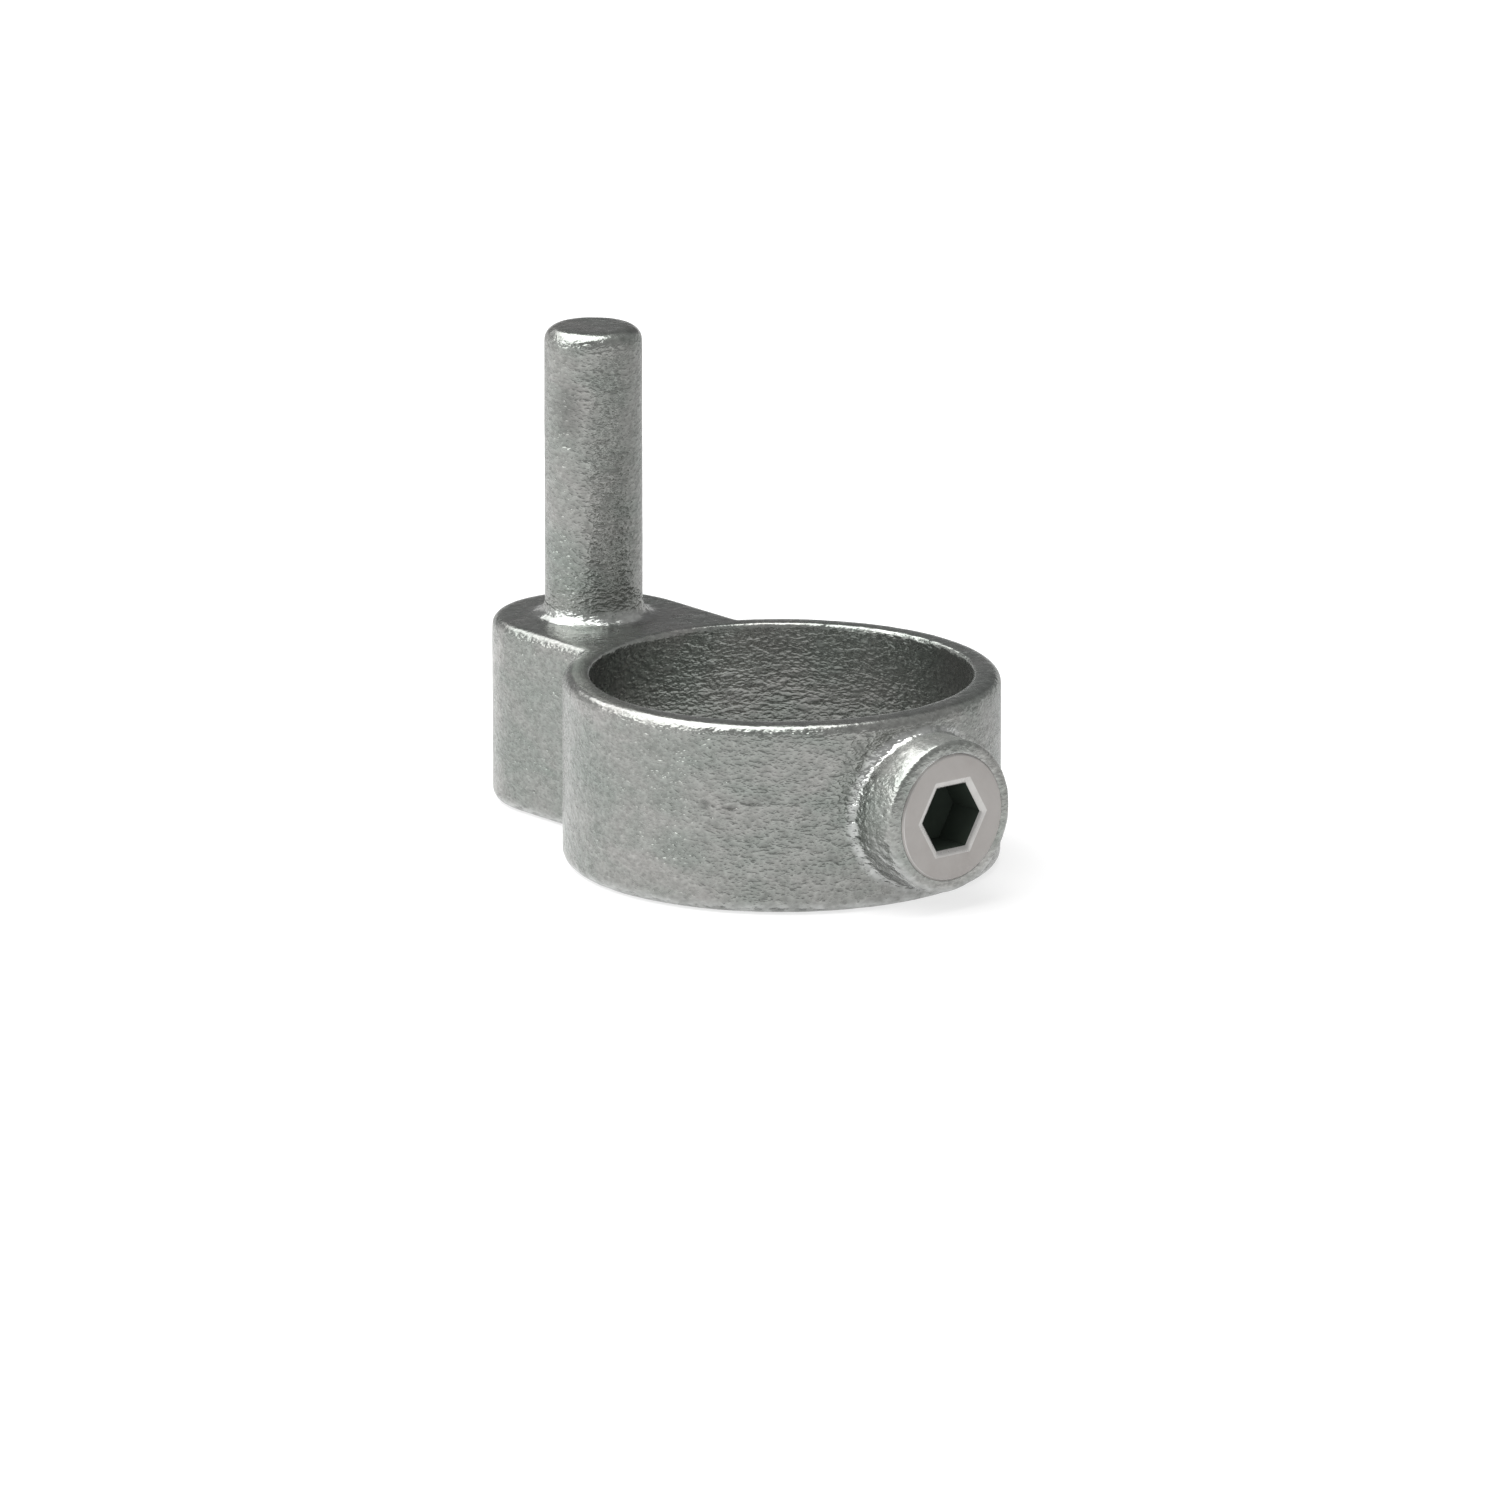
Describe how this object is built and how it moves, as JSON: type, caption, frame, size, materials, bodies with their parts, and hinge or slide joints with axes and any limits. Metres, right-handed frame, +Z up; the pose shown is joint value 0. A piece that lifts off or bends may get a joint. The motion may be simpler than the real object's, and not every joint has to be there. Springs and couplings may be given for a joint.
{
  "type": "tube clamp collar fitting",
  "caption": "Cast clamp collar for round tube, with a set screw in a boss on one side and an upright hinge pin on a round-ended lug on the other.",
  "frame": {"origin": "on the bore's axis, at the collar's bottom face", "axes": "+Z up the bore, the way the hinge pin points; +X from the bore's axis towards the set screw, so the lug and its pin are on the -X side; Y across"},
  "size_m": [0.0869, 0.057, 0.064],
  "materials": {
    "galvanised_casting": "rough cast, hot-dip galvanised, dull silver grey",
    "screw_steel": "smooth satin, plated steel"
  },
  "bodies": {
    "collar": {"collar_casting": "galvanised_casting"},
    "screw": {"set_screw": "screw_steel"}
  },
  "joints": [
    {"name": "screw_travel", "type": "slide", "parent": "collar", "child": "screw", "axis": [1, 0, 0], "range_m": [-0.0012, 0.006]}
  ]
}
